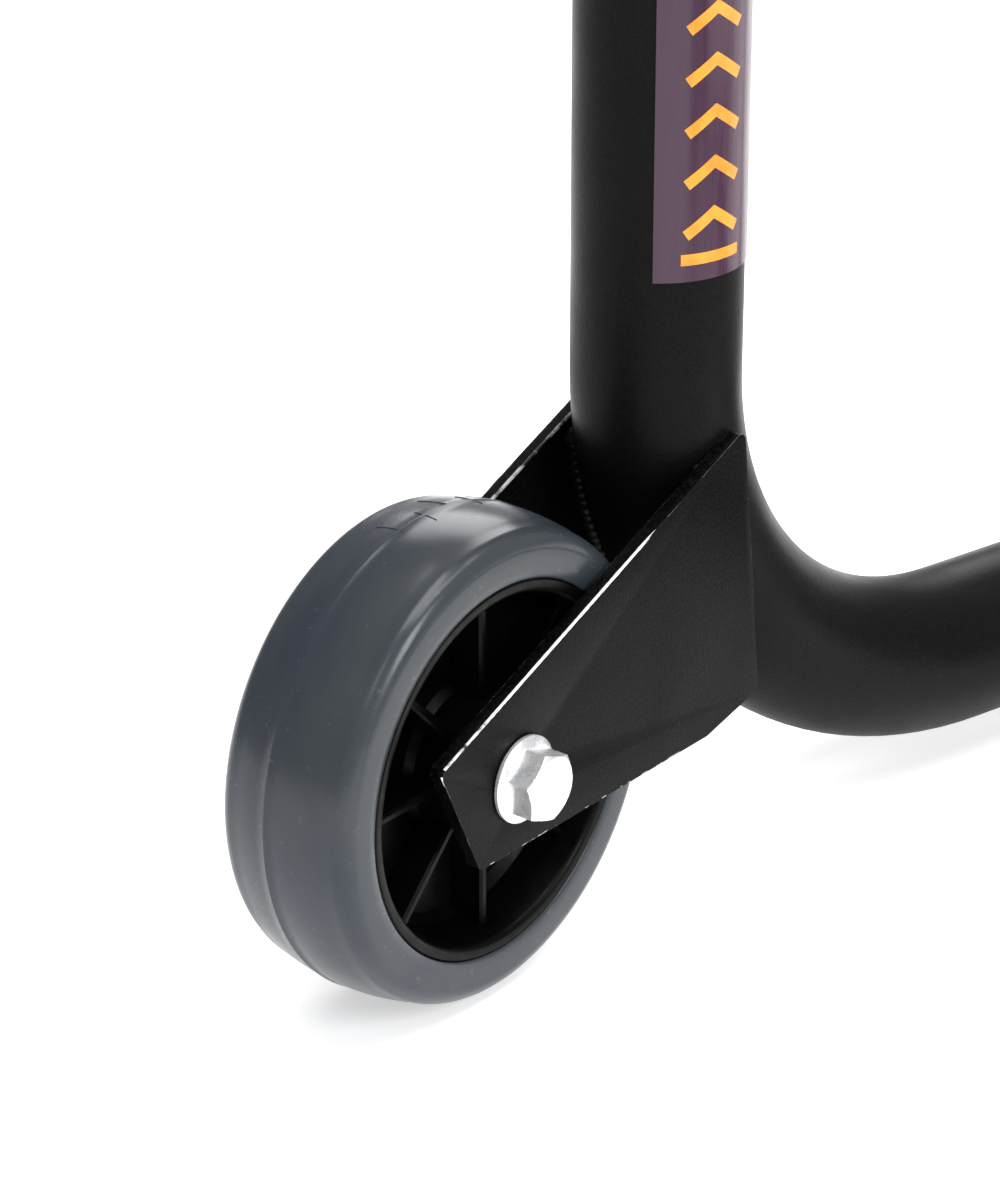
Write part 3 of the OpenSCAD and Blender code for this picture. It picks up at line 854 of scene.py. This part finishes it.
def rest_pad(bm):
    """An L of rubber with ribs across the seat and up the lip."""
    floor_z, top = PAD_LOW.z + PAD_T, PAD_HIGH.z
    wall = PAD_HIGH.y - PAD_T
    corners = [(PAD_LOW.y, PAD_LOW.z), (PAD_HIGH.y, PAD_LOW.z), (PAD_HIGH.y, top), (wall, top),
               (wall, floor_z), (PAD_LOW.y, floor_z)]
    outline = rounded(corners, 1.6 * MM)
    length, pitch, depth, end = PAD_HIGH.x - PAD_LOW.x, 5 * MM, 1.3 * MM, 1 * MM
    stations = [(0, 0.8 * MM, 0), (0.3 * MM, 0.25 * MM, 0), (end, 0, 0)]
    x = end + 2 * MM
    while x + pitch < length - end:
        stations += [(x, 0, 0), (x + 0.5 * MM, 0, depth), (x + 1.7 * MM, 0, depth), (x + 2.2 * MM, 0, 0)]
        x += pitch
    stations += [(length - end, 0, 0), (length - 0.3 * MM, 0.25 * MM, 0), (length, 0.8 * MM, 0)]
    middle_y, middle_z = (PAD_LOW.y + PAD_HIGH.y) / 2, (PAD_LOW.z + floor_z) / 2
    loops = []
    for x, shrink, groove in stations:
        loop = []
        for y, z in outline:
            seat = z > floor_z - 0.5 * MM and PAD_LOW.y + 2 * MM < y < wall - 0.5 * MM
            lip = y < wall + 0.5 * MM and floor_z + 1.5 * MM < z < top - 2 * MM
            z2 = z - (groove if seat else 0)
            y2 = y + (groove if lip else 0)
            y2 += shrink * (1 if y2 < middle_y else -1)
            z2 += shrink * (1 if z2 < middle_z else -1)
            loop.append(Vector((PAD_LOW.x + x, y2, z2)))
        loops.append(loop)
    loft(bm, loops)


def rounded_square(place, size, radius, height):
    h = size / 2
    corners = rounded([(-h, -h), (h, -h), (h, h), (-h, h)], radius, steps=6)
    return [place @ Vector((x, y, height)) for x, y in corners]


PLUG_LOW, PLUG_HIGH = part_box("right_arm_plug")


def arm_plug(bm):
    """A domed cap over the square tube's end, on a spigot that fits inside."""
    size = PLUG_HIGH.x - PLUG_LOW.x
    centre = middle("right_arm_plug")
    place = basis(Vector((centre.x, PLUG_HIGH.y, centre.z)), -Y_DIR, UP)
    steps = [(size * 0.35, 2, 0), (size - 8 * MM, 3, 0.12 * MM), (size - 3.4 * MM, 3.2, 0.5 * MM),
             (size - 1.2 * MM, 3.2, 1.1 * MM), (size, 3, 1.9 * MM), (size, 3, 2.5 * MM),
             (size - 6.4 * MM, 1.5, 2.55 * MM), (size - 6.4 * MM, 1.5, 13.5 * MM),
             (size - 8 * MM, 1.5, 14.5 * MM)]
    loft(bm, [rounded_square(place, s, r * MM, h) for s, r, h in steps])


def bar_cap(bm):
    place = basis(Vector((BAR.x, BAR_HIGH.y, BAR.z)), Y_DIR)
    fit = BAR_R - TUBE_WALL - 0.05 * MM
    loft(bm, [circle(place, r, h, 72) for r, h in
              ((0, 3 * MM), (BAR_R * 0.55, 2.9 * MM), (BAR_R - 2 * MM, 2.4 * MM),
               (BAR_R - 0.5 * MM, 1.5 * MM), (BAR_R, 0.7 * MM), (BAR_R, 0.02 * MM), (fit, 0),
               (fit, -11.2 * MM), (fit - 0.8 * MM, -12 * MM), (0, -12 * MM))], caps=False)


each_side("boss_of_arm", boss, [PLATE_PAINT], "arm", "arm_boss")
each_side("pin_of_rest", rest_pin, [DULL_ZINC], "rest", "rest_pin")
each_side("nylon_washer", washer, [NYLON], "rest", "rest_washer")
each_side("split_pin", split_pin, [DULL_ZINC], "rest", "rest_clip")
each_side("ribbed_pad", rest_pad, [RUBBER], "rest", "rest_pad")
each_side("plug_of_arm", arm_plug, [PLASTIC], "arm", "arm_plug")
each_side("cap_of_bar", bar_cap, [PLASTIC], "frame", "bar_cap")

# ---- clamp screws ----

KNOB_LOW, KNOB_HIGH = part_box("right_clamp_knob")
STUD_LOW, STUD_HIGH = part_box("right_clamp_stud")
STUD_R = (STUD_HIGH.z - STUD_LOW.z) / 2


def star_knob(bm):
    """Five round lobes on a neck, with a shallow ring sunk in its face."""
    place = basis(Vector((KNOB_LOW.x, KNOB.y, KNOB.z)), X_DIR, Y_DIR)
    lobes, sides, height = 5, 160, KNOB_HIGH.x - KNOB_LOW.x
    reach, valley, neck_r, depth = 20.5 * MM, 6.2 * MM, 11 * MM, 15 * MM

    def loop(inset, h, star=1.0):
        """A ring between the neck's circle, at star 0, and the full star."""
        points = []
        for i in range(sides):
            a = 2 * pi * i / sides
            wave = (0.5 + 0.5 * cos(lobes * a)) ** 1.25
            r = (reach - valley * (1 - wave) - inset) * star + (neck_r - inset) * (1 - star)
            points.append(place @ Vector((r * cos(a), r * sin(a), h)))
        return points

    neck = [circle(place, r, h, sides) for r, h in
            ((STUD_R + 0.05 * MM, 0), (8.6 * MM, 0), (9 * MM, 0.4 * MM), (10 * MM, 5.5 * MM),
             (neck_r, 8 * MM))]
    body = [loop(3.2 * MM, 9 * MM, 0.8), loop(1.6 * MM, 9.3 * MM), loop(0.5 * MM, 10.2 * MM),
            loop(0, 11.6 * MM), loop(0, height - 4 * MM), loop(0.4 * MM, height - 2.2 * MM),
            loop(1.5 * MM, height - 0.8 * MM), loop(3 * MM, height - 0.2 * MM)]
    face = [circle(place, r, h, sides) for r, h in
            ((11.2 * MM, height), (9.2 * MM, height), (8.6 * MM, height - 0.8 * MM),
             (6.4 * MM, height - 0.8 * MM), (5.8 * MM, height - 0.2 * MM), (0, height))]
    mouth = loft(bm, neck + body + face, caps=False)[0]
    bottom = [bm.verts.new(p) for p in circle(place, STUD_R + 0.05 * MM, depth, sides)]
    bridge(bm, mouth, bottom)
    bm.faces.new(bottom)


def clamp_stud(bm):
    place = basis(Vector((STUD_LOW.x, KNOB.y, KNOB.z)), X_DIR, Y_DIR)
    threaded(bm, place, STUD_R, 0, STUD_HIGH.x - STUD_LOW.x, 1.5 * MM, 0.75 * MM, sides=48)


def thrust_pad(bm):
    low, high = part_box("right_clamp_tip")
    place = basis(Vector((low.x, KNOB.y, KNOB.z)), X_DIR, Y_DIR)
    loft(bm, [circle(place, r, h, 48) for r, h in
              ((0, 0), (3.4 * MM, 0), (4 * MM, 0.5 * MM), (4 * MM, 2.6 * MM), (3.6 * MM, 3 * MM),
               (2.4 * MM, 3 * MM), (2.4 * MM, high.x - low.x), (0, high.x - low.x))], caps=False)


each_side("star_knob", star_knob, [KNOB_PLASTIC], "clamp_screw", "clamp_knob", sharp=40)
each_side("threaded_stud", clamp_stud, [DULL_ZINC], "clamp_screw", "clamp_stud", sharp=60)
each_side("brass_thrust_pad", thrust_pad, [BRASS], "thrust_pad", "clamp_tip")

# ---- feet and grip ----


def foot(bm):
    """A rubber shoe round the end of the rail, with a grooved sole."""
    length, wall, half, bore = 50 * MM, 4 * MM, TUBE_R, TUBE_R + 0.05 * MM
    place = basis(RAIL_END - RAIL_DIR * length, RAIL_DIR, RAIL_SIDE)
    outer = TUBE_R + wall
    meet = atan2(-sqrt(outer ** 2 - half ** 2), half)
    turn = pi - 2 * meet
    soft, sole = 2 * MM, -RAIL_Z
    cheek, toe = -sqrt(outer ** 2 - half ** 2), sole + soft
    across, steps = [], 48
    for i in range(steps + 1):
        a = meet + turn * i / steps
        across.append((outer * cos(a), outer * sin(a)))
    across += [(-half, cheek + (toe - cheek) * k / 4) for k in range(1, 5)]
    across += arc((-half + soft, toe), soft, 180, 270, 4)[1:]
    across += [(-half + soft + (2 * half - 2 * soft) * k / 12, sole) for k in range(1, 13)]
    across += arc((half - soft, toe), soft, 270, 360, 4)[1:]
    across += [(half, toe + (cheek - toe) * k / 4) for k in range(1, 4)]
    stations = [(0, 1.2, 0), (0.5, 0.3, 0), (1.5, 0, 0)]        # mm along, inset and groove
    x, pitch, groove = 5.0, 5.6, 1.4
    while x < 44:
        stations += [(x, 0, 0), (x + 0.4, 0, groove), (x + 2.0, 0, groove), (x + 2.4, 0, 0)]
        x += pitch
    stations += [(48.5, 0, 0), (49.5, 0.3, 0), (50, 1.2, 0)]

    def outside(along, inset, groove):
        loop = []
        for u, v in across:
            size = hypot(u, v)
            scale = (size - inset * MM) / size
            lift = groove * MM if v < sole + 0.5 * MM else 0
            loop.append(place @ Vector((u * scale, max(v * scale + lift, sole + inset * MM), along * MM)))
        return loop

    def inside(along):
        return [place @ Vector((bore * u / hypot(u, v), bore * v / hypot(u, v), along * MM))
                for u, v in across]

    loft(bm, [outside(*s) for s in stations] + [inside(50), inside(0)], closed=True)


GRIP_LOW, GRIP_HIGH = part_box("handle_grip")


def grip(bm):
    """A rubber sleeve with rings along it and a collar at each end."""
    place = basis(Vector((BAR.x, GRIP_LOW.y, BAR.z)), Y_DIR)
    outer, inner = (GRIP_HIGH.z - GRIP_LOW.z) / 2, BAR_R + 0.05 * MM
    length = GRIP_HIGH.y - GRIP_LOW.y
    collar, pitch, low = 6 * MM, 4 * MM, outer - 1.6 * MM
    half = [(outer - 1.5 * MM, 0), (outer - 0.4 * MM, 0.4 * MM), (outer, 1.5 * MM), (outer, collar - 1 * MM),
            (outer - 0.5 * MM, collar - 0.2 * MM), (low, collar + 0.6 * MM)]
    line = list(half)
    y = collar + 2 * MM
    while y + pitch < length - collar:
        line += [(low, y), (outer - 0.5 * MM, y + 0.5 * MM), (outer - 0.3 * MM, y + 1.1 * MM),
                 (outer - 0.5 * MM, y + 1.7 * MM), (low, y + 2.2 * MM)]
        y += pitch
    line += [(r, length - h) for r, h in half[::-1]]
    revolve(bm, [(inner, 0)] + line + [(inner, length)], place, sides=96)


each_side("rubber_foot", foot, [RUBBER], "frame", "foot", sharp=40)
bm = bmesh.new()
grip(bm)
piece("ringed_grip", bm, [RUBBER], "frame", ["handle_grip"], sharp=50)

# ---- labels ----

LABEL_LOW, LABEL_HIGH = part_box("right_label")
LABEL_R = TUBE_R + 0.37 * MM
PRINT_T, PRINT_ROOT = 0.09 * MM, -0.05 * MM        # the ink's skin and underside, from the film's skin
PRINT_AT = radians(-106.5)        # the middle of the printed band, round the upright


def on_label(across, height, lift):
    """A point on the label's skin: across runs round the tube, in metres."""
    a = PRINT_AT + across / LABEL_R
    r = LABEL_R + lift
    return Vector((UPRIGHT_X + r * cos(a), AXLE.y + r * sin(a), LABEL_LOW.z + height))


def stroke(bm, start, end, width):
    """A printed bar from start to end, both (across, height), with square ends."""
    steps = 8
    start, end = Vector(start), Vector(end)
    along = (end - start).normalized()
    side = Vector((-along.y, along.x)) * width / 2
    loops = []
    for i in range(steps + 1):
        p = start.lerp(end, i / steps)
        a, b = p + side, p - side
        m = (a + b) / 2
        loops.append([on_label(*q, PRINT_ROOT) for q in (a, m, b)]
                     + [on_label(*q, PRINT_T) for q in (b, m, a)])
    loft(bm, loops)


def label_print(bm):
    """A column of chevrons between two short bars: a plain pattern with no lettering."""
    half, width, pitch, rise = 6.2 * MM, 2.3 * MM, 10.4 * MM, 4.6 * MM
    height, margin = LABEL_HIGH.z - LABEL_LOW.z, 4 * MM
    for level in (4.6 * MM, height - margin):
        stroke(bm, (-half - 0.9 * MM, level), (half + 0.9 * MM, level), width)
    at = 9.6 * MM
    while at + pitch < height - margin:
        for way in (-1, 1):
            stroke(bm, (way * half, at), (-way * 0.55 * MM, at + rise), width)
        at += pitch


repaint(FILM, "right_label", "left_label")
each_side("label_print", label_print, [PRINT], "frame")

# ---- welds ----

BEND_TOP = RAIL_Z + BEND_R
BACK_TOP_X = AXLE.x + 73 * MM        # the plate's sloping back edge: its top corner,
BACK_FOOT, BACK_RISE = 39 * MM, 60.7 * MM        # the height of its foot and its rise


def plate_welds(bm):
    """Where each plate lies against the tube: down the front of the touching line, which follows the
    bend, and down the plate's back edge."""
    offset, spread = 8.6 * MM, 15.7 * MM
    turn = BEND_R + offset
    for way in (1, -1):
        front = []
        for i in range(25):
            a = radians(9 + 26 * i / 24)
            front.append(Vector((UPRIGHT_X + BEND_R - turn * cos(a), AXLE.y + way * spread,
                                 BEND_TOP - turn * sin(a))))
        bead(bm, front, 1.7 * MM)
        back = []
        for i in range(25):
            z = (58 + 38 * i / 24) * MM
            x = PLATE_HIGH.x + (BACK_TOP_X - PLATE_HIGH.x) * (z - BACK_FOOT) / BACK_RISE
            back.append(Vector((x, AXLE.y + way * 16.6 * MM, z)))
        bead(bm, back, 1.8 * MM)


def receiver_weld(bm):
    place = basis(Vector((UPRIGHT_X, AXLE.y, UPRIGHT_TOP - 1.2 * MM)), UP)
    bead(bm, circle(place, TUBE_R + 0.9 * MM, sides=96), 1.9 * MM, closed=True)


def nut_weld(bm):
    bead(bm, hex_loop(CLAMP, 17.6 * MM, 0.6 * MM, 10 * MM), 1.1 * MM, closed=True, ripple=1.4 * MM)


def frame_welds(bm):
    plate_welds(bm)
    receiver_weld(bm)
    nut_weld(bm)
    bead(bm, crossbar_joint(grow=0.6 * MM), 2.1 * MM, closed=True)
    bead(bm, leg_joint(), 2.0 * MM, closed=True)


def arm_weld(bm):
    """Round the square arm where it meets the boss."""
    half, flat = 15 * MM, 8 * MM

    def meet(x):
        return REST.y + max(flat, sqrt(max(BOSS_R ** 2 - x * x, 0)))

    top = [Vector((REST.x + x * MM, meet(x * MM), KNOB.z + half)) for x in range(-14, 15)]
    down = [Vector((REST.x + half - 1 * MM, REST.y + flat, KNOB.z + z * MM)) for z in range(13, -14, -2)]
    bottom = [Vector((p.x, p.y, KNOB.z - half)) for p in top[::-1]]
    up = [Vector((REST.x - half + 1 * MM, p.y, p.z)) for p in down[::-1]]
    bead(bm, top + down + bottom + up, 1.7 * MM, closed=True)


# Painted highlights: bright lines along the plates' upper and lower arrises; the corner between them is also
# real worn paint.
ARRIS_HIGHLIGHTS_AND_WEAR = (((-23.6, 10.9), (46, 38.75), 0.3),        # the upper arris
        ((-11.2, -14.8), (60.5, -14.8), 0.22),        # the lower arris
        ((-24.4, 9.6), (-23.5, 7.4), 0.5))        # the corner between the upper and front ones


def arris_highlights_and_wear(bm):
    """Painted highlight lines along the arrises of each plate, drawn as bright bare steel, with real worn
    paint at the front corner; in mm from the axle: start, end and thickness.
    """
    fade = 8 * MM
    for face in (PLATE_LOW.y, OUTER_FACE):
        way = 1 if face > AXLE.y else -1
        y = face - way * 0.22 * MM
        for start, end, size in ARRIS_HIGHLIGHTS_AND_WEAR:
            a = AXLE + Vector((start[0] * MM, y - AXLE.y, start[1] * MM))
            b = AXLE + Vector((end[0] * MM, y - AXLE.y, end[1] * MM))
            total = (b - a).length

            def ragged(run):
                return size * MM * (0.15 + min(1, (total - run) / fade) * random.uniform(0.75, 0.95))

            sweep(bm, resampled([a, b], 0.8 * MM), ragged, sides=8)


bm = bmesh.new()
mirrored(bm, arris_highlights_and_wear)
piece("plate_edge_highlights_and_wear", bm, [PAINTED_HIGHLIGHT_AND_BARE_STEEL], "frame", sharp=60)
bm = bmesh.new()
mirrored(bm, frame_welds)
piece("frame_weld_beads", bm, [WELD_PAINT], "frame", sharp=60)
each_side("arm_weld_bead", arm_weld, [WELD_PAINT], "arm", sharp=60)

# ---- camera, light and floor ----

camera_data = bpy.data.cameras.new("camera")
camera = bpy.data.objects.new("camera", camera_data)
scene.collection.objects.link(camera)
scene.camera = camera
camera_data.sensor_width = 36
camera_data.lens = 131.1
camera_data.clip_end = 50
LOOK_DOWN, LOOK_ROUND = 24.46, 51.83        # degrees
camera.location = AXLE + Vector((-0.5975, -0.4846, 0.3821))
camera.rotation_euler = (radians(90 - LOOK_DOWN), 0, radians(-LOOK_ROUND))


def area_light(name, place, target, size, power, colour=(1, 1, 1)):
    data = bpy.data.lights.new(name, "AREA")
    data.shape = "RECTANGLE"
    data.size, data.size_y = size
    data.energy = power
    data.color = colour
    light = bpy.data.objects.new(name, data)
    light.location = place
    light.rotation_euler = (Vector(target) - Vector(place)).to_track_quat("-Z", "Y").to_euler()
    scene.collection.objects.link(light)


area_light("overhead", (0.1, -0.2, 2.2), (0, 0, 0), (1.6, 1.6), 60)
area_light("key", (-0.2, -1.8, 1.2), (-0.2, 0.1, 0.1), (0.9, 0.9), 32)
area_light("left_strip", (-1.7, -0.6, 1.9), (-0.25, 0.2, 0.1), (0.2, 0.8), 5, (0.92, 0.96, 1))
area_light("back", (1.4, 1.2, 1.2), (0, 0, 0.1), (1.2, 1.0), 18)

world = bpy.data.worlds.new("studio")
scene.world = world
world.use_nodes = True
world.node_tree.nodes["Background"].inputs["Color"].default_value = (1, 1, 1, 1)
world.node_tree.nodes["Background"].inputs["Strength"].default_value = 0.4

FLOOR_HALF, FLOOR_Z = 6.0, -0.2 * MM        # a hair under the wheels and feet
floor_mesh = bpy.data.meshes.new("floor")
floor_mesh.from_pydata([(x * FLOOR_HALF, y * FLOOR_HALF, FLOOR_Z)
                        for x, y in ((-1, -1), (1, -1), (1, 1), (-1, 1))], [], [(0, 1, 2, 3)])
floor_object = bpy.data.objects.new("floor", floor_mesh)
scene.collection.objects.link(floor_object)
pale = Shader("pale_floor", (0.9, 0.9, 0.9), 0.75, specular=0.2)
pale.set("Emission Color", (1, 1, 1, 1))
pale.set("Emission Strength", 0.5)
pale.colour(pale.ramp(pale.noise(3, detail=2), [(0.3, (0.90, 0.90, 0.90)), (0.7, (0.93, 0.93, 0.93))]))
floor_mesh.materials.append(pale.material)
scene.view_settings.view_transform = "Standard"
